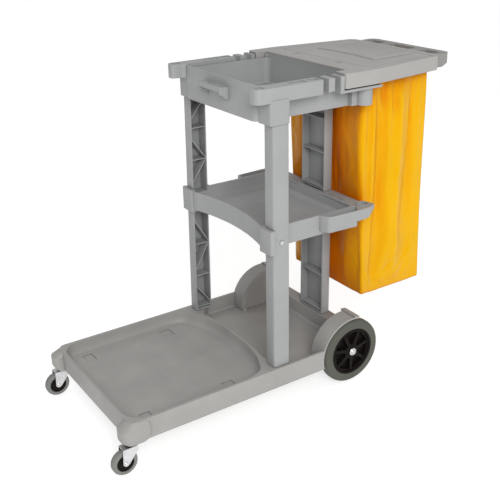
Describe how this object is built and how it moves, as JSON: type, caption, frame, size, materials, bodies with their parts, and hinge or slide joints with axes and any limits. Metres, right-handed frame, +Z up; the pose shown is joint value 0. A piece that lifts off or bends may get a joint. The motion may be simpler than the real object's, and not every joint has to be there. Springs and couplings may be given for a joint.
{
  "type": "janitor cart",
  "caption": "Wheeled housekeeping cart with a front platform, posts, a middle shelf, a top bin and a hinged cover over a hanging vinyl waste bag.",
  "frame": {"origin": "middle of the overall box on the floor", "axes": "+X towards the push handle at the back, +Y to the cart's right seen from the handle, +Z up"},
  "size_m": [1.2752, 0.53, 0.9814],
  "materials": {
    "grey_plastic": "fine textured moulded polypropylene",
    "dark_grey_plastic": "fine textured moulded polypropylene",
    "yellow_vinyl": "creased coated vinyl",
    "grey_rubber": "matt",
    "black_plastic": "satin",
    "zinc": "zinc plated",
    "caster_grey": "matt",
    "dark_steel": "oiled"
  },
  "bodies": {
    "cart": {"base_platform": "grey_plastic", "front_post_left": "grey_plastic", "front_post_right": "grey_plastic", "rear_post": "grey_plastic", "middle_shelf": "grey_plastic", "upper_tray": "grey_plastic", "bag_frame": "grey_plastic", "push_handle": "dark_grey_plastic", "waste_bag": "yellow_vinyl", "post_screw_left": "zinc", "post_screw_right": "zinc", "axle_pin_left": "zinc", "axle_pin_right": "zinc", "axle_cap_left": "zinc", "axle_cap_right": "zinc", "caster_stem_left": "dark_steel", "caster_stem_right": "dark_steel"},
    "lid_flap": {"lid_flap": "grey_plastic", "flap_pin_left": "grey_plastic", "flap_pin_right": "grey_plastic"},
    "rear_wheel_left": {"rear_tyre_left": "grey_rubber", "rear_hub_left": "black_plastic"},
    "caster_swivel_left": {"caster_fork_left": "zinc", "caster_rivet_left": "zinc"},
    "caster_wheel_left": {"caster_tyre_left": "caster_grey", "caster_hub_left": "black_plastic"},
    "rear_wheel_right": {"rear_tyre_right": "grey_rubber", "rear_hub_right": "black_plastic"},
    "caster_swivel_right": {"caster_fork_right": "zinc", "caster_rivet_right": "zinc"},
    "caster_wheel_right": {"caster_tyre_right": "caster_grey", "caster_hub_right": "black_plastic"}
  },
  "joints": [
    {"name": "lid_flap_hinge", "type": "hinge", "parent": "cart", "child": "lid_flap", "pos_m": [0.54173, 0, 0.97176], "axis": [0, 1, 0], "range_deg": [0, 100]},
    {"name": "rear_wheel_left_spin", "type": "hinge", "parent": "cart", "child": "rear_wheel_left", "pos_m": [0.1915, -0.238, 0.106], "axis": [0, 1, 0], "continuous": true},
    {"name": "caster_left_swivel", "type": "hinge", "parent": "cart", "child": "caster_swivel_left", "pos_m": [-0.5755, -0.239, 0.065], "axis": [0, 0, 1], "continuous": true},
    {"name": "caster_left_roll", "type": "hinge", "parent": "caster_swivel_left", "child": "caster_wheel_left", "pos_m": [-0.5995, -0.239, 0.038], "axis": [0, 1, 0], "continuous": true},
    {"name": "rear_wheel_right_spin", "type": "hinge", "parent": "cart", "child": "rear_wheel_right", "pos_m": [0.1915, 0.238, 0.106], "axis": [0, 1, 0], "continuous": true},
    {"name": "caster_right_swivel", "type": "hinge", "parent": "cart", "child": "caster_swivel_right", "pos_m": [-0.5755, 0.239, 0.065], "axis": [0, 0, 1], "continuous": true},
    {"name": "caster_right_roll", "type": "hinge", "parent": "caster_swivel_right", "child": "caster_wheel_right", "pos_m": [-0.5995, 0.239, 0.038], "axis": [0, 1, 0], "continuous": true}
  ]
}
